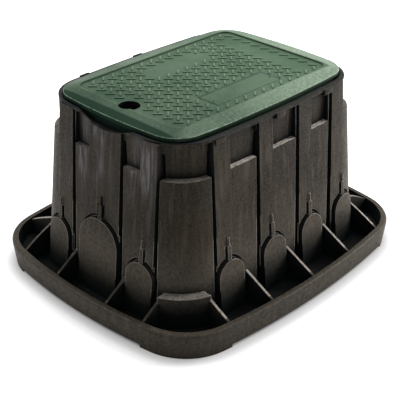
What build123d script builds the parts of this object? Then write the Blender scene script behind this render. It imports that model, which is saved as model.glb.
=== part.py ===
from build123d import *
import math
import os

# Irrigation valve box with a bolt-down lid, millimetres, +Z up, ground at z = 0.
# X runs along the long sides. The box is one moulding, the lid is the other.

# overall
length = 554.0              # flange, end to end
width = 474.0               # flange, side to side
height = 305.0              # feet to the crest of the lid

# flange tray around the foot of the box
rim_height = 42.0
rim_inset = 5.0             # the rim leans in toward the ground
rim_thick = 9.0
rim_radius = 94.0
rim_bow = 24.0              # how far each side bulges past its corners
rim_round = 3.5
foot_lift = 5.5             # the rim clears the ground between the corner feet
foot_x, foot_y = 200.0, -147.0      # inner ends of a foot past the last gussets
floor_top = 17.5
floor_thick = 5.0
tray_lean = 8.0             # degrees, inner face of the rim

# upright walls, sizes at their top edge
wall_top = 293.0
top_a = 205.5
top_b = 152.0
top_radius = 56.0
end_bow = 13.0
side_bow = 8.0
draft = 5.0                 # degrees
wall = 5.0

# thin top rim, rounder at its corners than the walls
band_a = 205.9
band_b = 153.5
band_end = 13.0
band_side = 8.0
band_radius = (80.0, 68.0)  # collar corners, the other two corners
band_thick = 2.5

# lid
lid_a = 198.0
lid_b = 139.0
lid_radius = 47.0
lid_bow = 8.5
lid_seat = 281.0            # underside of the lid's skirt
lid_low = 294.0             # underside of its outer edge
lid_edge = 300.0            # top of its outer edge
lid_round = 1.4
skirt_in = 6.0              # skirt behind the lid's outer edge
skirt_thick = 4.0
field_a = 166.5
field_b = 110.5
field_radius = 17.0
field_bow = 1.5
field_step = 2.0
crest = 3.0                 # width of the flat crest round the field
lid_under = 297.0           # underside of the lid's top
rib_low = 286.0
rib_thick = 3.0
rib_xs = [-125.0, -75.0, -25.0, 25.0, 75.0, 125.0]
rib_ys = [-90.0, -45.0, 0.0, 45.0, 90.0]
seat_width = 13.0
pocket_a = 199.6
pocket_b = 143.0
pocket_bow = 9.0
pocket_radius = 55.0

# bolt hole
hole_x = -157.0
hole_d = 33.0
hole_floor = 289.0
boss_d = 43.0
bolt_d = 12.0
anchor_d = 30.0
anchor_high = 278.0
anchor_thick = 14.0

# bare marker plate on the lid
plate_x = 2.0
plate_y = -71.0
plate_l = 137.0
plate_w = 38.0
plate_rise = 0.8

# panels: recesses above a ledge, flutes between the panels
ledge_z = 240.0
recess_end = 2.6            # recess face behind the top edge, short sides
recess_side = 4.0           # and long sides
recess_radius = (62.0, 50.0)        # collar corners, the other two corners
flute_depth = 15.0
flute_low = 26.0
long_recess = [(-109.0, -54.0), (-19.0, 33.0), (71.0, 114.0)]
short_recess = [(30.0, 62.0), (-75.0, -40.5)]
near_corner = (-142.0, -107.0)      # x on the long side, y on the short side
far_corner = (156.0, -104.0)        # x on the long side, y on the short side
# each flute: left and right edge at the top, left and right edge at flute_low
long_flutes = [(-144.5, -139.5, -154.0, -145.0), (-53.5, -47.5, -65.0, -54.0),
               (35.5, 42.5, 24.0, 36.0), (117.5, 125.5, 104.6, 117.5)]
short_flutes = [(64.0, 70.0, 53.0, 63.0), (-41.0, -35.5, -50.5, -40.0),
                (-108.5, -104.0, -116.0, -108.0)]

# knock-out plates: a tombstone standing proud of the wall inside a slot
knock_proud = 5.5
slot_width = 5.0
slot_depth = 3.0
knock_r = 25.0
knock_z = 102.0             # crown
long_knocks = [-121.0, -27.0, 63.0, 151.0]
small_short = [94.0, -86.0]
big_r = 41.0
big_z = 142.0
tab_width = 7.0
tab_slit = 4.0
tab_height = 22.0
tab_proud = 2.5
fin_height = 13.0
fin_thick = 2.0

# gussets between wall and rim
gusset_thick = 4.0
gusset_top = 68.0
gusset_rim = 38.0
long_gussets = [-171.0, -86.0, 6.0, 99.0, 189.0]
short_gussets = [142.0, 53.0, -56.0, -127.0]

# corner collar between the two gussets of a fluted corner
collar_top = 68.0
collar_out = 14.0

# small lugs on the outer edge of the top rim
lug_xs = [-127.0, -4.0, 111.0]
lug_length = 18.0
lug_out = 2.0
lug_drop = 7.0

# finger scoop in the short sides
scoop_y = 4.0
scoop_half = 57.0
scoop_depth = 12.5

slope = math.tan(math.radians(draft))
reach = 400.0               # past the box on every side
cut_past = 2.0              # cutting tools start this far outside the walls
rim_lean = math.atan(rim_inset / rim_height)
rim_spare = rim_round * (math.tan(rim_lean) + 1 / math.cos(rim_lean) - 1)   # taken by the rounding
os.makedirs("parts", exist_ok=True)


def bowed(a, b, end, side, radius, mode=Mode.ADD):
    """Rounded rectangle with bulging sides in the sketch that is open."""
    collar_radius, other_radius = radius if isinstance(radius, tuple) else (radius, radius)
    cx, cy = a - end, b - side
    with BuildLine(Plane.XY) as sides:
        ThreePointArc((-cx, -cy), (0, -b), (cx, -cy))
        ThreePointArc((cx, -cy), (a, 0), (cx, cy))
        ThreePointArc((cx, cy), (0, b), (-cx, cy))
        ThreePointArc((-cx, cy), (-a, 0), (-cx, -cy))
    with BuildSketch(Plane.XY) as flat:
        make_face(sides.edges())
        fillet(flat.vertices().filter_by(lambda corner: corner.X * corner.Y > 0), collar_radius)
        fillet(flat.vertices().filter_by(lambda corner: corner.X * corner.Y < 0), other_radius)
    add(flat.sketch_local, mode=mode)


def walls(grow, low, high):
    """The drafted walls, grown outward, between two heights."""
    out = grow + (wall_top - low) * slope
    with BuildPart() as solid:
        with BuildSketch(Plane.XY.offset(low)):
            bowed(top_a + out, top_b + out, end_bow, side_bow, top_radius + out)
        extrude(amount=high - low, taper=draft)
    return solid.part


def upright(a, b, end, side, radius, low, high):
    """A straight prism with a bowed outline between two heights."""
    with BuildPart() as solid:
        with BuildSketch(Plane.XY.offset(low)):
            bowed(a, b, end, side, radius)
        extrude(amount=high - low)
    return solid.part


def side_prism(points, end=False):
    """Outline in x, z (or y, z for a short side) pushed out of one side of the box."""
    frame = Plane.YZ.offset(-reach) if end else Plane.XZ.offset(reach)
    with BuildPart() as solid:
        with BuildSketch(frame):
            Polygon(*points, align=None)
        extrude(amount=reach - 60 if end else -(reach - 60))
    return solid.part


def solid_turned(solid):
    return solid.rotate(Axis.Z, 180)


def pair(solid):
    """A tool and the same tool turned half round the box."""
    return [solid, solid_turned(solid)]


def block(low, high, z0, z1):
    return [(low, z0), (high, z0), (high, z1), (low, z1)]


def corner_block(x, y, z0, z1):
    """Block over the corner of the box that lies past x and y."""
    across = Align.MIN if x > 0 else Align.MAX
    with BuildPart() as solid:
        with BuildSketch(Plane.XY.offset(z0)):
            with Locations((x, y)):
                Rectangle(reach, reach, align=(across, Align.MAX))
        extrude(amount=z1 - z0)
    return solid.part


def recess_tools(grow):
    """Everything the recesses may take away, before the depth limit."""
    top = wall_top - band_thick + grow
    tools = []
    for x0, x1 in long_recess:
        tools += pair(side_prism(block(x0 - grow, x1 + grow, ledge_z - grow, top)))
    for y0, y1 in short_recess:
        tools += pair(side_prism(block(y0 - grow, y1 + grow, ledge_z - grow, top), end=True))
    for x, y in (near_corner, far_corner):
        tools += pair(corner_block(x - math.copysign(grow, x), y + grow, ledge_z - grow, top))
    return tools


def flute_tools(grow):
    """The narrow upright flutes, before the depth limit."""
    top = wall_top - band_thick + grow
    low = flute_low - grow
    tools = []
    for flutes, end in ((long_flutes, False), (short_flutes, True)):
        for t0, t1, b0, b1 in flutes:
            shape = [(b0 - grow, low), (b1 + grow, low), (t1 + grow, top), (t0 - grow, top)]
            tools += pair(side_prism(shape, end))
    return tools


def tombstone(centre, radius, crown, low, end=False):
    """Arch shape pushed out of one side of the box."""
    frame = Plane.YZ.offset(-reach) if end else Plane.XZ.offset(reach)
    with BuildPart() as solid:
        with BuildSketch(frame):
            with Locations((centre, crown - radius)):
                Circle(radius)
            Polygon(*block(centre - radius, centre + radius, low, crown - radius), align=None)
        extrude(amount=reach - 60 if end else -(reach - 60))
    return solid.part


def level(z):
    """How far the drafted walls stand out at a height, past their top edge."""
    return (wall_top - z) * slope


recess_limit = upright(top_a - recess_end, top_b - recess_side, end_bow, side_bow,
                       recess_radius, -10, wall_top + 20)
recess_limit_in = upright(top_a - recess_end - wall, top_b - recess_side - wall, end_bow, side_bow,
                          tuple(r - wall for r in recess_radius), -10, wall_top + 20)
lid_pocket = upright(pocket_a, pocket_b, pocket_bow, pocket_bow, pocket_radius, lid_seat, wall_top + 5)
pocket_skin = upright(pocket_a + wall / 2, pocket_b + wall / 2, pocket_bow, pocket_bow,
                      pocket_radius + wall / 2, lid_seat - wall, wall_top + 5)

# every knock-out: centre, radius, crown, on a short side
knocks = [(x, knock_r, knock_z, False) for x in long_knocks]
knocks += [(y, knock_r, knock_z + 3, True) for y in small_short] + [(0.0, big_r, big_z, True)]

with BuildPart() as recesses:
    add(recess_tools(0))
    add(recess_limit, mode=Mode.SUBTRACT)

with BuildPart() as flutes:
    add(flute_tools(0))
    add(walls(cut_past, 0, wall_top + 5), mode=Mode.INTERSECT)
    add(walls(-flute_depth, 0, wall_top + 5), mode=Mode.SUBTRACT)
    add(pocket_skin, mode=Mode.SUBTRACT)

# slots round the knock-outs and beside their tabs
with BuildPart() as slots:
    for centre, radius, crown, end in knocks:
        add(pair(tombstone(centre, radius + slot_width, crown + slot_width, floor_top, end)))
        half = tab_width / 2 + tab_slit
        add(pair(side_prism(block(centre - half, centre + half, crown, crown + tab_height), end)))
    add(walls(cut_past, 0, wall_top + 5), mode=Mode.INTERSECT)
    add(walls(-slot_depth, 0, wall_top + 5), mode=Mode.SUBTRACT)

# plates and tabs standing proud
with BuildPart() as plates:
    for centre, radius, crown, end in knocks:
        add(pair(tombstone(centre, radius, crown, floor_top - 2, end)))
    add(walls(knock_proud, 0, wall_top), mode=Mode.INTERSECT)

with BuildPart() as tabs:
    for centre, radius, crown, end in knocks:
        add(pair(side_prism(block(centre - tab_width / 2, centre + tab_width / 2,
                                  crown - 4, crown + tab_height), end)))
        add(pair(side_prism(block(centre - fin_thick / 2, centre + fin_thick / 2,
                                  crown + tab_height, crown + tab_height + fin_height), end)))
    add(walls(tab_proud, 0, wall_top), mode=Mode.INTERSECT)

# everything inside the walls
with BuildPart() as relief:
    add(recess_tools(wall))
    add(recess_limit_in, mode=Mode.SUBTRACT)
with BuildPart() as flute_relief:
    add(flute_tools(wall))
    add(walls(-flute_depth - wall, -20, wall_top + 5), mode=Mode.SUBTRACT)
collar_a = top_a + level(collar_top) + collar_out
collar_b = top_b + level(collar_top) + collar_out
collar_r = top_radius + level(collar_top) + collar_out
corner_x, corner_y = long_gussets[0], short_gussets[-1]
with BuildPart() as collar:
    add(pair(corner_block(corner_x, corner_y, 0, collar_top)))
    add(upright(collar_a, collar_b, end_bow, side_bow, collar_r, 0, collar_top), mode=Mode.INTERSECT)
with BuildPart() as collar_hollow:
    add(pair(corner_block(corner_x - wall, corner_y - wall, -1, collar_top - wall)))
    add(upright(collar_a - wall, collar_b - wall, end_bow, side_bow, collar_r - wall,
                -1, collar_top - wall), mode=Mode.INTERSECT)
with BuildPart() as cavity:
    add(walls(-wall, -1, lid_seat - wall))
    add(relief.part, mode=Mode.SUBTRACT)
    add(flute_relief.part, mode=Mode.SUBTRACT)
    add(collar_hollow.part)

# a thin gusset ends where this envelope meets the wall and the rim
rim_in = rim_thick - 2
gusset_in = 3.0             # the envelope's top edge lies this far behind the wall
with BuildPart() as envelope:
    with BuildSketch(Plane.XY.offset(gusset_rim)):
        bowed(length / 2 - rim_in, width / 2 - rim_in, rim_bow, rim_bow, rim_radius - rim_in)
    with BuildSketch(Plane.XY.offset(gusset_top + gusset_in / 2)):
        out = level(gusset_top) - gusset_in
        bowed(top_a + out, top_b + out, end_bow, side_bow, top_radius + out)
    loft(ruled=True)
    with BuildSketch(Plane.XY.offset(floor_top - 1)):
        bowed(length / 2 - rim_in, width / 2 - rim_in, rim_bow, rim_bow, rim_radius - rim_in)
    extrude(amount=gusset_rim - floor_top + 1)
with BuildPart() as gussets:
    half = gusset_thick / 2
    for x in long_gussets:
        add(pair(side_prism(block(x - half, x + half, 0, gusset_top + gusset_in))))
    for y in short_gussets:
        add(pair(side_prism(block(y - half, y + half, 0, gusset_top + gusset_in), end=True)))
    add(envelope.part, mode=Mode.INTERSECT)

# lugs of the rim: short blocks past its outer edge
with BuildPart() as lugs:
    for x in lug_xs:
        add(pair(side_prism(block(x - lug_length / 2, x + lug_length / 2,
                                  wall_top - 1 - lug_drop, wall_top - 1))))
    add(upright(band_a + lug_out, band_b + lug_out, band_end, band_side, band_radius[1],
                0, wall_top), mode=Mode.INTERSECT)
    add(lid_pocket, mode=Mode.SUBTRACT)

# shallow circular arch through the upright rim of the short sides
scoop_r = (scoop_half ** 2 + scoop_depth ** 2) / (2 * scoop_depth)
with BuildPart() as scoops:
    with BuildSketch(Plane.YZ.offset(-reach)):
        with Locations((scoop_y, wall_top - scoop_depth + scoop_r)):
            Circle(scoop_r)
    extrude(amount=reach - lid_a + seat_width / 2)
    add(solid_turned(scoops.part))

# one moulding: flange tray, walls, panels, knock-outs, gussets, lid seat
with BuildPart() as body:
    # flange rim, wider at its top than on the ground
    with BuildSketch():
        shrink = rim_inset - rim_spare
        bowed(length / 2 - shrink, width / 2 - shrink, rim_bow, rim_bow, rim_radius - shrink)
    extrude(amount=rim_height, taper=-math.degrees(rim_lean))
    fillet(body.faces().sort_by(Axis.Z)[-1].edges(), rim_round)
    # tray inside the rim
    with BuildSketch(Plane.XY.offset(floor_top)):
        shrink = rim_thick + (rim_height - floor_top) * math.tan(math.radians(tray_lean))
        bowed(length / 2 - shrink, width / 2 - shrink, rim_bow, rim_bow, rim_radius - shrink)
    extrude(amount=rim_height, taper=-tray_lean, mode=Mode.SUBTRACT)
    # hollow under the tray floor
    with BuildSketch():
        shrink = rim_thick + rim_inset
        bowed(length / 2 - shrink, width / 2 - shrink, rim_bow, rim_bow, rim_radius - shrink)
    extrude(amount=floor_top - floor_thick, mode=Mode.SUBTRACT)
    # upright walls with their recesses, flutes and slots
    add(walls(0, 0, wall_top - band_thick))
    add(recesses.part, mode=Mode.SUBTRACT)
    add(flutes.part, mode=Mode.SUBTRACT)
    add(slots.part, mode=Mode.SUBTRACT)
    add(plates.part)
    add(tabs.part)
    add(collar.part)
    add(gussets.part)
    add(upright(band_a, band_b, band_end, band_side, band_radius, wall_top - band_thick, wall_top))
    # hollow inside, lid pocket and the opening inside its seat
    add(cavity.part, mode=Mode.SUBTRACT)
    add(lid_pocket, mode=Mode.SUBTRACT)
    add(upright(lid_a - seat_width, lid_b - seat_width, lid_bow, lid_bow, lid_radius - seat_width,
                lid_seat - wall - 1, lid_seat + 1), mode=Mode.SUBTRACT)
    # bolt anchor under the lid's bolt hole, on a shelf from the seat
    with BuildSketch(Plane.XY.offset(anchor_high - anchor_thick)):
        with PolarLocations(0, 2):
            with Locations((hole_x, 0)):
                Circle(anchor_d / 2)
            with Locations((hole_x, 0)):
                Rectangle(top_a + hole_x - 1, anchor_d, align=(Align.MAX, Align.CENTER))
    extrude(amount=anchor_thick)
    with BuildSketch(Plane.XY.offset(anchor_high)):
        with PolarLocations(0, 2):
            with Locations((hole_x, 0)):
                Circle(bolt_d / 2 - 1)
    extrude(amount=-anchor_thick, mode=Mode.SUBTRACT)
    # small lugs along the outer edge of the top rim
    add(lugs.part)
    # finger scoop in the rim of each short side
    add(scoops.part, mode=Mode.SUBTRACT)
    # the walls and the rim clear the ground between the corner feet
    with BuildSketch():
        Rectangle(2 * reach, 2 * reach)
        with PolarLocations(0, 2):
            with Locations((corner_x, corner_y)):
                Rectangle(reach, reach, align=(Align.MAX, Align.MAX), mode=Mode.SUBTRACT)
            with Locations((foot_x, foot_y)):
                Rectangle(reach, reach, align=(Align.MIN, Align.MAX), mode=Mode.SUBTRACT)
    extrude(amount=foot_lift, mode=Mode.SUBTRACT)


# the lid: bevelled margin round a sunk tread field, skirt and ribs below
with BuildPart() as lid:
    add(upright(lid_a, lid_b, lid_bow, lid_bow, lid_radius, lid_low, lid_edge))
    fillet(lid.faces().sort_by(Axis.Z)[-1].edges(), lid_round)
    # margin rising to a crest round the field
    with BuildSketch(Plane.XY.offset(lid_edge)):
        bowed(lid_a - lid_round, lid_b - lid_round, lid_bow, lid_bow, lid_radius - lid_round)
    with BuildSketch(Plane.XY.offset(height)):
        bowed(field_a + crest, field_b + crest, field_bow, field_bow, field_radius + crest)
    loft(ruled=True)
    with BuildSketch(Plane.XY.offset(height - field_step)):
        bowed(field_a, field_b, field_bow, field_bow, field_radius)
    extrude(amount=field_step + 1, mode=Mode.SUBTRACT)
    # bare marker plate
    with BuildSketch(Plane.XY.offset(height - field_step)):
        with Locations((plate_x, plate_y)):
            RectangleRounded(plate_l, plate_w, 2)
    extrude(amount=plate_rise)
    # skirt set in from the edge, hollow, then the ribs and the bolt boss
    add(upright(lid_a - skirt_in, lid_b - skirt_in, lid_bow, lid_bow, lid_radius - skirt_in,
                lid_seat, lid_low))
    inner = skirt_in + skirt_thick
    add(upright(lid_a - inner, lid_b - inner, lid_bow, lid_bow, lid_radius - inner,
                lid_seat - 1, lid_under), mode=Mode.SUBTRACT)
    with BuildSketch(Plane.XY.offset(rib_low)):
        for x in rib_xs:
            with Locations((x, 0)):
                Rectangle(rib_thick, 2 * lid_b - 4)
        for y in rib_ys:
            with Locations((0, y)):
                Rectangle(2 * lid_a - 4, rib_thick)
        shrink = skirt_in + skirt_thick / 2
        bowed(lid_a - shrink, lid_b - shrink, lid_bow, lid_bow, lid_radius - shrink, Mode.INTERSECT)
        with Locations((hole_x, 0)):
            Circle(boss_d / 2)
    extrude(amount=lid_under - rib_low)
    with BuildSketch(Plane.XY.offset(hole_floor)):
        with Locations((hole_x, 0)):
            Circle(hole_d / 2)
    extrude(amount=height - hole_floor, mode=Mode.SUBTRACT)
    with BuildSketch(Plane.XY.offset(rib_low)):
        with Locations((hole_x, 0)):
            Circle(bolt_d / 2)
    extrude(amount=height - rib_low, mode=Mode.SUBTRACT)

for name, piece in (("box_body", body.part), ("lid", lid.part)):
    piece.label = name
    export_step(piece, f"parts/{name}.step")
    print(name, round(piece.volume), len(piece.solids()), piece.is_valid, piece.bounding_box())
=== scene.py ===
import bpy
import math
from functools import reduce
from types import SimpleNamespace
from mathutils import Matrix, Vector


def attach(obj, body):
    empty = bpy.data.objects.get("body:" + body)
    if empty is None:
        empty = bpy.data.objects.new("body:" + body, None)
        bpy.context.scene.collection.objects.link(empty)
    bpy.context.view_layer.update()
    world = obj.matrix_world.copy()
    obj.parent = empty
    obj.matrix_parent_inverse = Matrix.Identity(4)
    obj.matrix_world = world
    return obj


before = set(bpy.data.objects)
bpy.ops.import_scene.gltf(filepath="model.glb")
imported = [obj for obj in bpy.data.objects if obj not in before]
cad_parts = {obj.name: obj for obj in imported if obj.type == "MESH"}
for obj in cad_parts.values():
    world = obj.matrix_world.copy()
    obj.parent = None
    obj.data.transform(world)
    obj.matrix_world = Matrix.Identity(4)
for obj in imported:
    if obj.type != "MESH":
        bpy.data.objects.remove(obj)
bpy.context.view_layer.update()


print("frame loaded:", sorted(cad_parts))

# camera, solved from the photograph: angles in degrees, lengths in metres, picture in pixels
cameraView = {
    "azimuth": -46.64,
    "elevation": 27.56,
    "roll": 0.59,
    "distance": 1.6312,
    "target": (0.0, 0.0, 0.150),
    "focalPixels": 1019.06,
    "middleX": 203.78,
    "middleY": 164.15,
    "pictureSize": 400,
    "sensor": 36.0,
    "clipEnd": 60,
}


def makeCamera(view):
    azimuth, elevation = math.radians(view["azimuth"]), math.radians(view["elevation"])
    roll = math.radians(view["roll"])
    back = Vector((math.sin(azimuth) * math.cos(elevation), -math.cos(azimuth) * math.cos(elevation),
                   math.sin(elevation)))
    right = Vector((math.cos(azimuth), math.sin(azimuth), 0.0))
    up = back.cross(right)
    turnedRight = right * math.cos(roll) + up * math.sin(roll)
    turnedUp = up * math.cos(roll) - right * math.sin(roll)
    bpy.ops.object.camera_add()
    camera = bpy.context.object
    camera.name = "photoCamera"
    spot = Vector(view["target"]) + back * view["distance"]
    turn = Matrix((turnedRight, turnedUp, back)).transposed().to_4x4()
    camera.matrix_world = Matrix.Translation(spot) @ turn
    size = view["pictureSize"]
    camera.data.sensor_width = view["sensor"]
    camera.data.lens = view["focalPixels"] / size * view["sensor"]
    camera.data.shift_x = 0.5 - view["middleX"] / size
    camera.data.shift_y = view["middleY"] / size - 0.5
    camera.data.clip_end = view["clipEnd"]
    bpy.context.scene.camera = camera


makeCamera(cameraView)
print("camera placed")

# colour sockets of the Mix node
mixFirst, mixSecond, mixResult = 6, 7, 2


# node helpers: a value is a number, a colour or the output of another node
def feed(tree, socket, value):
    if isinstance(value, bpy.types.NodeSocket):
        tree.links.new(value, socket)
    else:
        socket.default_value = value


def maths(tree, operation, *values):
    node = tree.nodes.new("ShaderNodeMath")
    node.operation = operation
    for socket, value in zip(node.inputs, values):
        feed(tree, socket, value)
    return node.outputs[0]


def times(tree, *values):
    return reduce(lambda first, second: maths(tree, "MULTIPLY", first, second), values)


def highest(tree, *values):
    return reduce(lambda first, second: maths(tree, "MAXIMUM", first, second), values)


def inverse(tree, value):
    return maths(tree, "SUBTRACT", 1.0, value)


# smooth step of a value from newLow at low to newHigh at high
def ramp(tree, value, low, high, newLow=0.0, newHigh=1.0):
    node = tree.nodes.new("ShaderNodeMapRange")
    node.interpolation_type = "SMOOTHSTEP"
    for name, setting in (("Value", value), ("From Min", low), ("From Max", high),
                          ("To Min", newLow), ("To Max", newHigh)):
        feed(tree, node.inputs[name], setting)
    return node.outputs["Result"]


# 1 between low and high, 0 outside
def window(tree, value, low, high, soft):
    rise = ramp(tree, value, low - soft, low + soft)
    fall = ramp(tree, value, high - soft, high + soft, 1.0, 0.0)
    return times(tree, rise, fall)


def blend(tree, factor, first, second):
    node = tree.nodes.new("ShaderNodeMix")
    node.data_type = "RGBA"
    feed(tree, node.inputs["Factor"], factor)
    feed(tree, node.inputs[mixFirst], first)
    feed(tree, node.inputs[mixSecond], second)
    return node.outputs[mixResult]


def noise(tree, place, scale, detail, stretch=(1, 1, 1)):
    mapping = tree.nodes.new("ShaderNodeMapping")
    mapping.inputs["Scale"].default_value = stretch
    tree.links.new(place, mapping.inputs["Vector"])
    texture = tree.nodes.new("ShaderNodeTexNoise")
    texture.inputs["Scale"].default_value = scale
    texture.inputs["Detail"].default_value = detail
    tree.links.new(mapping.outputs["Vector"], texture.inputs["Vector"])
    return texture.outputs["Fac"]


def newGroup(name, takes, gives):
    group = bpy.data.node_groups.new(name, "ShaderNodeTree")
    for title, kind in takes:
        group.interface.new_socket(title, in_out="INPUT", socket_type=kind)
    for title, kind in gives:
        group.interface.new_socket(title, in_out="OUTPUT", socket_type=kind)
    return group, group.nodes.new("NodeGroupInput").outputs, group.nodes.new("NodeGroupOutput").inputs


def useGroup(tree, group, **values):
    node = tree.nodes.new("ShaderNodeGroup")
    node.node_tree = group
    for title, value in values.items():
        feed(tree, node.inputs[title], value)
    return node.outputs


# soft studio light: a strong panel on the right, a weak one behind on the left, and one above
studioLamps = [
    {"name": "lampRight", "size": 1.5, "power": 118, "spot": (2.6, -1.3, 1.3)},
    {"name": "lampLeft", "size": 1.6, "power": 20, "spot": (-1.7, 1.9, 1.6)},
    {"name": "lampTop", "size": 1.6, "power": 60, "spot": (0.5, 0.7, 2.6)},
]
# the floor glows more from the first to the second distance of farFloor, where the lamps fade; near the box a
# painted contact shadow darkens it
studio = {
    "lampAim": (0, 0, 0.15), "skyLight": 0.23,
    "floorColour": (0.80, 0.79, 0.79, 1), "floorRoughness": 0.9, "floorSpecular": 0.2,
    "floorGlow": 0.67, "floorSize": 40, "contactShadowReach": 0.046, "farFloor": (1.5, 4.0),
}


def makeLamp(lamp, aim):
    bpy.ops.object.light_add(type="AREA", location=lamp["spot"])
    light = bpy.context.object
    light.name = lamp["name"]
    light.data.shape = "SQUARE"
    light.data.size = lamp["size"]
    light.data.energy = lamp["power"]
    toward = Vector(aim) - Vector(lamp["spot"])
    light.rotation_euler = toward.to_track_quat("-Z", "Y").to_euler()


def whiteRays(tree):
    path = tree.nodes.new("ShaderNodeLightPath").outputs
    return highest(tree, path["Is Camera Ray"], path["Is Glossy Ray"], path["Is Transmission Ray"])


def makeWorld(values):
    world = bpy.data.worlds.new("studioWorld")
    bpy.context.scene.world = world
    world.use_nodes = True
    tree = world.node_tree
    sky = tree.nodes["Background"]
    sky.inputs["Color"].default_value = (1, 1, 1, 1)
    strength = ramp(tree, whiteRays(tree), 0.0, 1.0, values["skyLight"], 1.0)
    tree.links.new(strength, sky.inputs["Strength"])


def makeFloor(values):
    bpy.ops.object.select_all(action="DESELECT")
    bpy.ops.mesh.primitive_plane_add(size=values["floorSize"])
    floor = bpy.context.object
    floor.name = "studioFloor"
    material = bpy.data.materials.new("floorPaper")
    material.use_nodes = True
    tree = material.node_tree
    paper = tree.nodes["Principled BSDF"]
    # painted contact shadow: ambient occlusion darkens the floor's colour and its glow near the box
    contactShadow = tree.nodes.new("ShaderNodeAmbientOcclusion")
    contactShadow.inputs["Distance"].default_value = values["contactShadowReach"]
    contactShadow.inputs["Color"].default_value = values["floorColour"]
    tree.links.new(contactShadow.outputs["Color"], paper.inputs["Base Color"])
    paper.inputs["Roughness"].default_value = values["floorRoughness"]
    paper.inputs["Specular IOR Level"].default_value = values["floorSpecular"]
    paper.inputs["Emission Color"].default_value = (1, 1, 1, 1)
    away = tree.nodes.new("ShaderNodeVectorMath")
    away.operation = "LENGTH"
    tree.links.new(tree.nodes.new("ShaderNodeTexCoord").outputs["Object"], away.inputs[0])
    glow = ramp(tree, away.outputs["Value"], *values["farFloor"], values["floorGlow"], 1.0)
    glow = times(tree, glow, whiteRays(tree), contactShadow.outputs["AO"])
    tree.links.new(glow, paper.inputs["Emission Strength"])
    floor.data.materials.append(material)


for lamp in studioLamps:
    makeLamp(lamp, studio["lampAim"])
makeWorld(studio)
makeFloor(studio)
print("studio lit")

# grain of the mould, each with its scale and detail; streaks run along Z
grainValues = {
    "Speckle": (620.0, 2),
    "Pits": (210.0, 4),
    "Streaks": (150.0, 4, (1, 1, 0.05)),
    "Clouds": (11.0, 3),
}


def makeMouldGrain(values):
    group, takes, gives = newGroup("mouldGrain", [("Place", "NodeSocketVector")],
                                   [(title, "NodeSocketFloat") for title in values])
    for title, sizes in values.items():
        group.links.new(noise(group, takes["Place"], *sizes), gives[title])
    return group


# edge wear and painted edge highlights: where a rounded normal leaves the true one
edgeValues = {"samples": 6, "edgeRamp": (0.02, 0.22)}


def makeEdgeWearAndHighlight(values):
    group, takes, gives = newGroup(
        "edgeWearAndHighlight", [("Radius", "NodeSocketFloat"), ("Breakup", "NodeSocketFloat")],
        [("Edge", "NodeSocketFloat"), ("Soft Normal", "NodeSocketVector")])
    bevel = group.nodes.new("ShaderNodeBevel")
    bevel.samples = values["samples"]
    group.links.new(takes["Radius"], bevel.inputs["Radius"])
    alike = group.nodes.new("ShaderNodeVectorMath")
    alike.operation = "DOT_PRODUCT"
    group.links.new(bevel.outputs[0], alike.inputs[0])
    group.links.new(group.nodes.new("ShaderNodeNewGeometry").outputs["Normal"], alike.inputs[1])
    edge = ramp(group, inverse(group, alike.outputs["Value"]), *values["edgeRamp"])
    group.links.new(times(group, edge, takes["Breakup"]), gives["Edge"])
    group.links.new(bevel.outputs[0], gives["Soft Normal"])
    return group


# how open a place is: 1 out in the light, 0 deep in a corner; it paints shade into crevices
creviceValues = {"samples": 8}


def makeCreviceShade(values):
    group, takes, gives = newGroup(
        "creviceShade", [("Reach", "NodeSocketFloat"), ("Depth", "NodeSocketFloat")],
        [("Open", "NodeSocketFloat")])
    hollow = group.nodes.new("ShaderNodeAmbientOcclusion")
    hollow.samples = values["samples"]
    group.links.new(takes["Reach"], hollow.inputs["Distance"])
    group.links.new(maths(group, "POWER", hollow.outputs["AO"], takes["Depth"]), gives["Open"])
    return group


# grain as a normal for the shader
reliefValues = {"height": 0.0006}


def makeGrainRelief(values):
    group, takes, gives = newGroup(
        "grainRelief", [("Speckle", "NodeSocketFloat"), ("Pits", "NodeSocketFloat"),
                        ("Strength", "NodeSocketFloat"), ("Normal", "NodeSocketVector")],
        [("Normal", "NodeSocketVector")])
    relief = group.nodes.new("ShaderNodeBump")
    relief.inputs["Distance"].default_value = values["height"]
    group.links.new(maths(group, "ADD", takes["Speckle"], takes["Pits"]), relief.inputs["Height"])
    group.links.new(takes["Strength"], relief.inputs["Strength"])
    group.links.new(takes["Normal"], relief.inputs["Normal"])
    group.links.new(relief.outputs[0], gives["Normal"])
    return group


mouldGrain = makeMouldGrain(grainValues)
edgeWearAndHighlight = makeEdgeWearAndHighlight(edgeValues)
creviceShade = makeCreviceShade(creviceValues)
grainRelief = makeGrainRelief(reliefValues)
print("shared effects made")


def newMaterial(name):
    material = bpy.data.materials.new(name)
    material.use_nodes = True
    tree = material.node_tree
    place = tree.nodes.new("ShaderNodeTexCoord").outputs["Object"]
    grain = useGroup(tree, mouldGrain, Place=place)
    return SimpleNamespace(material=material, tree=tree, shader=tree.nodes["Principled BSDF"],
                           place=place, grain=grain)


# what both plastics start from: place and normal by axis, edge wear with painted highlights, how open a spot
# lies for the painted shade
def startPlastic(name, values):
    made = newMaterial(name)
    tree = made.tree
    axes = tree.nodes.new("ShaderNodeSeparateXYZ")
    tree.links.new(made.place, axes.inputs[0])
    facing = tree.nodes.new("ShaderNodeSeparateXYZ")
    tree.links.new(tree.nodes.new("ShaderNodeNewGeometry").outputs["Normal"], facing.inputs[0])
    made.axes, made.facing = axes.outputs, facing.outputs
    made.edges = useGroup(tree, edgeWearAndHighlight, Radius=values["edgeRadius"],
                          Breakup=ramp(tree, made.grain["Pits"], *values["edgeBreakup"]))
    hollowed = useGroup(tree, creviceShade, Reach=values["hollowReach"], Depth=values["hollowDepth"])
    made.isOpen = hollowed["Open"]
    return made


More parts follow.
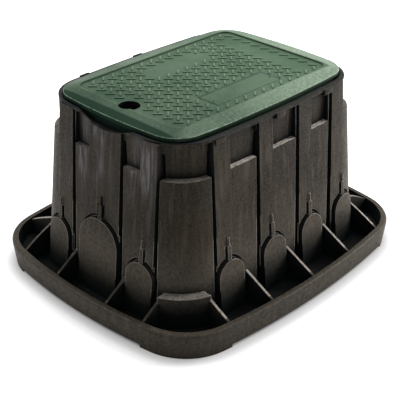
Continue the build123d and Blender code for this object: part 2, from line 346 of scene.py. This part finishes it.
def finishPlastic(made, values, colour, rough):
    made.tree.links.new(colour, made.shader.inputs["Base Color"])
    made.tree.links.new(rough, made.shader.inputs["Roughness"])
    made.shader.inputs["Specular IOR Level"].default_value = values["specular"]
    softened = useGroup(made.tree, grainRelief, Speckle=made.grain["Speckle"], Pits=made.grain["Pits"],
                        Strength=values["relief"], Normal=made.edges["Soft Normal"])
    made.tree.links.new(softened["Normal"], made.shader.inputs["Normal"])
    return made.material


# black polyethylene of the box: colours, and ramps as from, to, share at from, share at to
boxValues = {
    "dark": (0.0080, 0.0058, 0.0036, 1), "pale": (0.0285, 0.0222, 0.0142, 1),
    "streak": (0.060, 0.049, 0.034, 1), "deep": (0.0002, 0.0024, 0.0029, 1),
    "clouds": (0.35, 0.68), "paleStreaks": (0.50, 0.70, 0.0, 0.80), "darkStreaks": (0.47, 0.30, 0.0, 0.75),
    "speckle": (0.42, 0.72, 0.0, 0.75), "pits": (0.44, 0.30, 0.0, 0.6),
    "roughness": (0.3, 0.7, 0.62, 0.46), "specular": 0.100, "relief": 0.55,
    "edge": (0.160, 0.142, 0.120, 1), "edgeRadius": 0.0011, "edgeBreakup": (0.38, 0.62, 0.35, 1.0),
    "hollowReach": 0.070, "hollowDepth": 3.1,
    # by the Z of the normal: the outer face of the flange leans down and stays as open as the walls, out of
    # the painted shade
    "outerFace": (-0.10, -0.06, 0.80, 0.0), "upward": (0.7, 0.9),
    # scuffs: low and high along the end, low and high in Z, share
    "scuff": (0.150, 0.140, 0.146, 1), "endFace": (0.192, 0.198), "scuffSoft": (0.012, 0.028),
    "scuffs": [(0.000, 0.052, 0.200, 0.285, 1.0), (-0.100, -0.056, 0.185, 0.290, 1.0),
               (-0.110, 0.120, 0.150, 0.290, 0.10)],
    "scuffLines": [((60.0, 5, (1, 1, 0.14)), (0.38, 0.62)),
                   ((230.0, 3, (1, 1, 0.06)), (0.38, 0.62, 0.25, 1.25)),
                   ((34.0, 3, (1, 1, 0.5)), (0.40, 0.60, 0.45, 1.15))],
    # lighter towards the bottom, less on the flange rim
    "lowerTone": (0.118, 0.101, 0.080, 1), "lowerToneHeight": (0.0425, 0.165, 0.95, 0.0),
    "rimHeight": (0.0425, 0.0435, 0.42, 1.0), "lowerToneBreakup": (0.25, 0.70, 0.5, 1.0),
    # painted highlight on the knock-out arcs and long-side gussets, painted shade on the top rim and end
    # gussets, dust and painted highlight on ledges and collar feet; windows are low, high and softness
    "arc": (0.520, 0.480, 0.430, 1), "arcRadius": 0.0016, "arcShare": 0.9, "arcHeight": (0.060, 0.144, 0.004),
    "topRim": (0.2915, 0.2945, 0.0005), "topRimShade": (-0.10, -0.17, 0.6, 0.78),
    "dustAndHighlight": (0.580, 0.525, 0.465, 1), "dustAndHighlightBreakup": (0.30, 0.60, 0.45, 1.0),
    "ledgeHeight": (0.2385, 0.2415, 0.001), "ledgeEnds": (0.13, 0.15, 1.0, 0.28),
    "gussetSlope": (0.35, 0.92, 0.03), "gussetHeight": (0.0435, 0.0705, 0.001),
    "endGussets": (0.05, 0.25, 0.75, 0.0), "sideGussets": (0.2, 0.5, 0.0, 0.55),
    "footHeight": (0.0665, 0.0695, 0.0005), "footShare": 0.35,
}


# rubbed streaks that fan down from under the finger scoop, counted the same way on both ends
def scuffMask(made, values):
    tree = made.tree
    endward = maths(tree, "ABSOLUTE", made.axes["X"])
    along = times(tree, made.axes["Y"], maths(tree, "SIGN", made.axes["X"]), -1.0)
    softAlong, softHigh = values["scuffSoft"]
    patches = []
    for low, high, bottom, top, share in values["scuffs"]:
        patches.append(times(tree, window(tree, along, low, high, softAlong),
                             window(tree, made.axes["Z"], bottom, top, softHigh), share))
    lines = [ramp(tree, noise(tree, made.place, *sizes), *reach) for sizes, reach in values["scuffLines"]]
    return times(tree, highest(tree, *patches), *lines, ramp(tree, endward, *values["endFace"]))


def lowerToneMask(made, values):
    tree = made.tree
    return times(tree, ramp(tree, made.axes["Z"], *values["lowerToneHeight"]),
                 ramp(tree, made.axes["Z"], *values["rimHeight"]),
                 ramp(tree, made.grain["Pits"], *values["lowerToneBreakup"]))


# dust and painted highlight on the moulded ledges and collar feet, and a painted highlight on the tops of the
# gussets on the long sides
def paleParts(made, values, gusset, towardY):
    tree = made.tree
    upward = ramp(tree, made.facing["Z"], *values["upward"])
    endward = maths(tree, "ABSOLUTE", made.axes["X"])
    ledge = times(tree, upward, window(tree, made.axes["Z"], *values["ledgeHeight"]),
                  ramp(tree, endward, *values["ledgeEnds"]))
    foot = times(tree, upward, window(tree, made.axes["Z"], *values["footHeight"]), values["footShare"])
    slant = times(tree, gusset, ramp(tree, towardY, *values["sideGussets"]))
    return times(tree, highest(tree, ledge, foot, slant),
                 ramp(tree, made.grain["Pits"], *values["dustAndHighlightBreakup"]))


def makeBoxPlastic(values):
    made = startPlastic("boxPlastic", values)
    tree, grain = made.tree, made.grain
    isOpen = highest(tree, made.isOpen, ramp(tree, made.facing["Z"], *values["outerFace"]))
    gusset = times(tree, window(tree, made.facing["Z"], *values["gussetSlope"]),
                   window(tree, made.axes["Z"], *values["gussetHeight"]))
    towardY = maths(tree, "ABSOLUTE", made.facing["Y"])
    colour = blend(tree, ramp(tree, grain["Clouds"], *values["clouds"]), values["dark"], values["pale"])
    for title, key, tint in (("Streaks", "paleStreaks", "streak"), ("Streaks", "darkStreaks", "dark"),
                             ("Speckle", "speckle", "streak"), ("Pits", "pits", "dark")):
        colour = blend(tree, ramp(tree, grain[title], *values[key]), colour, values[tint])
    colour = blend(tree, scuffMask(made, values), colour, values["scuff"])
    colour = blend(tree, lowerToneMask(made, values), colour, values["lowerTone"])
    # edge wear, partly a painted highlight on lit edges
    colour = blend(tree, made.edges["Edge"], colour, values["edge"])
    # painted shade: crevices and hollows darken to the deep colour by ambient occlusion
    colour = blend(tree, isOpen, values["deep"], colour)
    # painted shade: the gussets on the end faces stay dark
    endGusset = times(tree, gusset, ramp(tree, towardY, *values["endGussets"]))
    colour = blend(tree, endGusset, colour, values["dark"])
    # painted highlight: thin pale arcs round the knock-outs
    arcs = useGroup(tree, edgeWearAndHighlight, Radius=values["arcRadius"], Breakup=values["arcShare"])["Edge"]
    arcs = times(tree, arcs, window(tree, made.axes["Z"], *values["arcHeight"]))
    colour = blend(tree, arcs, colour, values["arc"])
    # painted shade: the top rim is dark under the lid, most round the bolt end
    shaded = times(tree, window(tree, made.axes["Z"], *values["topRim"]),
                   ramp(tree, made.axes["X"], *values["topRimShade"]))
    colour = blend(tree, shaded, colour, values["deep"])
    # dust and painted highlight on ledges and collar feet, painted highlight on long-side gusset tops
    colour = blend(tree, paleParts(made, values, gusset, towardY), colour, values["dustAndHighlight"])
    # deep places are rough as well, so they mirror little of the studio
    rough = highest(tree, ramp(tree, grain["Pits"], *values["roughness"]), inverse(tree, isOpen))
    return finishPlastic(made, values, colour, rough)


# green polyethylene of the lid, written the same way
lidValues = {
    "dark": (0.0090, 0.0335, 0.0150, 1), "pale": (0.058, 0.108, 0.059, 1),
    "speck": (0.088, 0.140, 0.088, 1), "shade": (0.0005, 0.014, 0.006, 1), "black": (0.0, 0.0, 0.0, 1),
    # painted sheen: lighter toward the end without the bolt
    "paintedSheen": (-0.19, 0.15, 0.0, 0.55), "clouds": (0.32, 0.66, 0.0, 0.45),
    "speckle": (0.48, 0.78, 0.0, 0.6), "pits": (0.56, 0.74, 0.0, 0.35),
    "roughness": (0.3, 0.7, 0.55, 0.34), "endRoughness": 0.8, "specular": 0.12, "relief": 0.6,
    "edge": (0.230, 0.310, 0.230, 1), "edgeRadius": 0.0009, "edgeBreakup": (0.36, 0.60, 0.4, 1.0),
    "hollowReach": 0.009, "hollowDepth": 1.05,
    # margin round the field, painted with shine on the long sides and shade at the bolt end: half size of the
    # field, then how far past it
    "field": (0.1665, 0.1105), "marginRise": (0.0, 0.003), "cornerSplit": (-0.016, 0.010),
    "holeEnd": (0.0, -0.10), "darkFrom": (0.0125, 0.0165), "darkShare": 0.85,
    "shine": (0.250, 0.315, 0.240, 1), "shineBreakup": (0.30, 0.70, 0.35, 0.75),
    "shineAlong": (-0.12, 0.14, 0.25, 1.0), "shineAcross": (0.02, 0.11, 1.0, 0.25),
    # painted highlight on the rounded outer edge and painted shade on the upright face under it
    "brimSlope": (0.30, 0.93, 0.05), "brimHeight": (0.2985, 0.3002, 0.0002),
    "brimBreakup": (0.35, 0.60, 0.25, 0.80),
    "uprightSlope": (0.30, 0.10), "uprightHeight": (0.2978, 0.2988, 1.0, 0.0), "uprightShare": 0.8,
    # marker plate: middle, half size and width of the painted shade line on its far side and end
    "plate": (0.002, -0.071, 0.0688, 0.0193, 0.0022), "lineShare": 0.9, "lineSoft": 0.00055,
    "plateNear": (0.002, 0.003, 1.0, 0.0), "plateSlope": (0.9, 0.5),
    # bolt hole: middle and radius, then its inside painted dark as shade
    "hole": (-0.157, 0.0, 0.0172), "holeSoft": 0.0003, "holeHeight": (0.3018, 0.3028, 1.0, 0.0),
    "holeShade": (0.0, 1.0, 1.0, 0.06),
}


# painted shine on the long margins and painted shade on the end margin near the bolt hole
def marginMasks(made, values):
    tree, axes = made.tree, made.axes
    halfX, halfY = values["field"]
    pastX = maths(tree, "SUBTRACT", maths(tree, "ABSOLUTE", axes["X"]), halfX)
    pastY = maths(tree, "SUBTRACT", maths(tree, "ABSOLUTE", axes["Y"]), halfY)
    boltEnd = times(tree, ramp(tree, maths(tree, "SUBTRACT", pastX, pastY), *values["cornerSplit"]),
                    ramp(tree, axes["X"], *values["holeEnd"]))
    darkEnd = times(tree, boltEnd, ramp(tree, pastX, *values["darkFrom"]))
    paintedShine = times(tree, ramp(tree, highest(tree, pastX, pastY), *values["marginRise"]),
                   inverse(tree, boltEnd), ramp(tree, made.grain["Pits"], *values["shineBreakup"]),
                   ramp(tree, axes["X"], *values["shineAlong"]),
                   ramp(tree, axes["Y"], *values["shineAcross"]))
    return paintedShine, darkEnd


# the painted shade line on the marker plate's far side and end, and its near walls that are kept out of the
# painted crevice shade
def plateMasks(made, values):
    tree, axes = made.tree, made.axes
    plateX, plateY, halfX, halfY, line = values["plate"]
    reach = highest(tree, maths(tree, "SUBTRACT", axes["X"], plateX + halfX),
                    maths(tree, "SUBTRACT", axes["Y"], plateY + halfY))
    within = times(tree, ramp(tree, axes["X"], plateX - halfX - line, plateX - halfX),
                   ramp(tree, axes["Y"], plateY - halfY - line, plateY - halfY))
    outline = times(tree, window(tree, reach, -line, line, values["lineSoft"]), within, values["lineShare"])
    nearWalls = times(tree, ramp(tree, reach, *values["plateNear"]), within,
                      ramp(tree, made.facing["Z"], *values["plateSlope"]))
    return outline, nearWalls


def holeMask(made, values):
    tree = made.tree
    holeX, holeY, radius = values["hole"]
    acrossX = maths(tree, "SUBTRACT", made.axes["X"], holeX)
    acrossY = maths(tree, "SUBTRACT", made.axes["Y"], holeY)
    squares = maths(tree, "ADD", times(tree, acrossX, acrossX), times(tree, acrossY, acrossY))
    far = maths(tree, "SQRT", squares)
    soft = values["holeSoft"]
    return times(tree, ramp(tree, far, radius - soft, radius + soft, 1.0, 0.0),
                 ramp(tree, made.axes["Z"], *values["holeHeight"]))


def makeLidPlastic(name, values):
    made = startPlastic(name, values)
    tree, grain = made.tree, made.grain
    sheenAndClouds = maths(tree, "ADD", ramp(tree, made.axes["X"], *values["paintedSheen"]),
                      ramp(tree, grain["Clouds"], *values["clouds"]))
    colour = blend(tree, sheenAndClouds, values["dark"], values["pale"])
    colour = blend(tree, ramp(tree, grain["Speckle"], *values["speckle"]), colour, values["speck"])
    colour = blend(tree, ramp(tree, grain["Pits"], *values["pits"]), colour, values["speck"])
    paintedShine, darkEnd = marginMasks(made, values)
    colour = blend(tree, paintedShine, colour, values["shine"])
    colour = blend(tree, times(tree, darkEnd, values["darkShare"]), colour, values["shade"])
    # painted highlight on the rounded outer edge and on edge wear, painted shade on the upright face under it
    brim = times(tree, window(tree, made.facing["Z"], *values["brimSlope"]),
                 window(tree, made.axes["Z"], *values["brimHeight"]),
                 ramp(tree, grain["Pits"], *values["brimBreakup"]))
    upright = times(tree, ramp(tree, made.facing["Z"], *values["uprightSlope"]),
                    ramp(tree, made.axes["Z"], *values["uprightHeight"]))
    colour = blend(tree, times(tree, upright, values["uprightShare"]), colour, values["shade"])
    wornAndHighlit = times(tree, made.edges["Edge"], inverse(tree, upright))
    colour = blend(tree, highest(tree, wornAndHighlit, brim), colour, values["edge"])
    outline, nearWalls = plateMasks(made, values)
    colour = blend(tree, outline, colour, values["shade"])
    # painted shade: black in crevices by ambient occlusion and inside the bolt hole, kept off the marker
    # plate's near walls
    shade = times(tree, made.isOpen, ramp(tree, holeMask(made, values), *values["holeShade"]))
    colour = blend(tree, highest(tree, shade, nearWalls), values["black"], colour)
    rough = highest(tree, ramp(tree, grain["Clouds"], *values["roughness"]),
                    times(tree, darkEnd, values["endRoughness"]))
    return finishPlastic(made, values, colour, rough)


boxPlastic = makeBoxPlastic(boxValues)
lidPlastic = makeLidPlastic("lidPlastic", lidValues)
# the tread bars are painted lighter than the field between them, brightest on their edges: a painted
# highlight
treadPlasticHighlit = makeLidPlastic("treadPlasticHighlit", lidValues | {
    "dark": (0.030, 0.072, 0.039, 1), "pale": (0.118, 0.194, 0.114, 1), "edge": (0.420, 0.530, 0.400, 1),
    "edgeRadius": 0.0014})

# degrees between two faces, past which their edge stays sharp
sharpFrom = {"solids": 30, "added": 40}


def smooth(piece, degrees):
    bpy.ops.object.select_all(action="DESELECT")
    piece.select_set(True)
    bpy.context.view_layer.objects.active = piece
    bpy.ops.object.shade_smooth_by_angle(angle=math.radians(degrees))


def dress(node, material):
    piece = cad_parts[node]
    piece.data.materials.clear()
    piece.data.materials.append(material)
    smooth(piece, sharpFrom["solids"])


dress("box_body", boxPlastic)
dress("lid", lidPlastic)
print("materials on")


def rounded(piece, values):
    bpy.ops.object.modifier_add(type="BEVEL")
    piece.modifiers[-1].width = values["round"]
    piece.modifiers[-1].segments = values["segments"]
    piece.modifiers[-1].limit_method = "ANGLE"
    bpy.ops.object.modifier_apply(modifier=piece.modifiers[-1].name)


# turns to edit mode with only the upward faces selected
def pickTop(piece):
    leastUp = 0.9
    bpy.ops.object.mode_set(mode="EDIT")
    bpy.ops.mesh.select_mode(type="FACE")
    bpy.ops.mesh.select_all(action="DESELECT")
    bpy.ops.object.mode_set(mode="OBJECT")
    for face in piece.data.polygons:
        face.select = face.normal.z > leastUp
    bpy.ops.object.mode_set(mode="EDIT")


# a rounded block on the Z axis, narrower at its top by the draft on each side
def makeBlock(values):
    length, width, low, high = values["length"], values["width"], values["low"], values["high"]
    draft = values["draft"]
    bpy.ops.object.select_all(action="DESELECT")
    bpy.ops.mesh.primitive_cube_add(size=1, location=(0, 0, (low + high) / 2))
    block = bpy.context.object
    block.scale = (length, width, high - low)
    bpy.ops.object.transform_apply(location=True, rotation=True, scale=True)
    pickTop(block)
    shrink = ((length - 2 * draft) / length, (width - 2 * draft) / width, 1)
    bpy.ops.transform.resize(value=shrink, center_override=(0, 0, high))
    bpy.ops.object.mode_set(mode="OBJECT")
    rounded(block, values)
    return block


# one copy of the source with its own mesh for each (x, y, degrees about Z), joined to one piece
def repeat(source, places, name, material):
    copies = []
    for x, y, degrees in places:
        copy = source.copy()
        copy.data = source.data.copy()
        copy.data.transform(Matrix.Translation((x, y, 0)) @ Matrix.Rotation(math.radians(degrees), 4, "Z"))
        bpy.context.collection.objects.link(copy)
        copies.append(copy)
    bpy.data.objects.remove(source)
    bpy.ops.object.select_all(action="DESELECT")
    for copy in copies:
        copy.select_set(True)
    bpy.context.view_layer.objects.active = copies[0]
    bpy.ops.object.join()
    piece = bpy.context.object
    piece.name = name
    piece.data.materials.clear()
    piece.data.materials.append(material)
    smooth(piece, sharpFrom["added"])
    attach(piece, "root")
    return len(copies)


# raised tread bars of the lid: two crossed rows on a square grid, metres
tread = {
    "pitch": 0.020, "steps": 9, "rows": [((0.001, -0.001), 45), ((0.011, 0.009), -45)],
    "length": 0.0150, "width": 0.0038, "low": 0.3024, "high": 0.3045, "draft": 0.0004,
    "round": 0.0008, "segments": 2,
    "fieldX": 0.1585, "fieldY": 0.1035,
    # kept bare: bolt hole, marker plate, two rows on the far half, upright strip at the far end
    "bare": [(-0.185, -0.138, -0.020, 0.020), (-0.072, 0.076, -0.097, -0.047),
             (-0.052, 0.054, 0.063, 0.081), (-0.067, 0.069, 0.045, 0.062), (0.120, 0.144, -0.094, 0.088)],
}


def isBare(x, y, zones):
    return any(x0 < x < x1 and y0 < y < y1 for x0, x1, y0, y1 in zones)


def treadPlaces(values):
    steps = range(-values["steps"], values["steps"] + 1)
    for (startX, startY), degrees in values["rows"]:
        for column in steps:
            for row in steps:
                x = startX + column * values["pitch"]
                y = startY + row * values["pitch"]
                inField = abs(x) <= values["fieldX"] and abs(y) <= values["fieldY"]
                if inField and not isBare(x, y, values["bare"]):
                    yield x, y, degrees


print("tread bars:", repeat(makeBlock(tread), treadPlaces(tread), "treadBars", treadPlasticHighlit))

# two pin heads on the marker plate, metres
pins = {
    "places": [(-0.060, -0.075, 0), (0.0645, -0.075, 0)], "radius": 0.0019, "low": 0.3030, "high": 0.3042,
    "sides": 24, "inset": 0.0007, "crown": 0.0003, "round": 0.0003, "segments": 2,
    "dark": (0.004, 0.008, 0.006, 1), "pale": (0.028, 0.0222, 0.0150, 1), "speckle": (0.4, 0.7),
    "roughness": 0.6,
}


def makePinMetal(values):
    made = newMaterial("pinMetal")
    speckled = ramp(made.tree, made.grain["Speckle"], *values["speckle"])
    colour = blend(made.tree, speckled, values["dark"], values["pale"])
    made.tree.links.new(colour, made.shader.inputs["Base Color"])
    made.shader.inputs["Roughness"].default_value = values["roughness"]
    return made.material


def makePin(values):
    low, high = values["low"], values["high"]
    bpy.ops.object.select_all(action="DESELECT")
    bpy.ops.mesh.primitive_cylinder_add(vertices=values["sides"], radius=values["radius"], depth=high - low,
                                        location=(0, 0, (low + high) / 2))
    head = bpy.context.object
    bpy.ops.object.transform_apply(location=True, rotation=True, scale=True)
    pickTop(head)
    bpy.ops.mesh.inset(thickness=values["inset"], depth=values["crown"])
    bpy.ops.object.mode_set(mode="OBJECT")
    rounded(head, values)
    return head


print("marker pins:", repeat(makePin(pins), pins["places"], "markerPins", makePinMetal(pins)))

# small lugs along the outer edge of the top rim, metres: along the +Y side, and the same turned round
lugs = {
    "along": [-0.111, 0.004], "middle": 0.1545, "bow": 0.008, "half": 0.1925,
    "length": 0.020, "width": 0.006, "low": 0.2855, "high": 0.2938, "draft": 0.0006,
    "round": 0.0010, "segments": 2,
}


def lugPlaces(values):
    for x in values["along"]:
        y = values["middle"] - values["bow"] * (x / values["half"]) ** 2
        yield x, y, 0
        yield -x, -y, 180


print("rim lugs:", repeat(makeBlock(lugs), lugPlaces(lugs), "rimLugs", boxPlastic))

bpy.context.scene.view_settings.view_transform = "Standard"
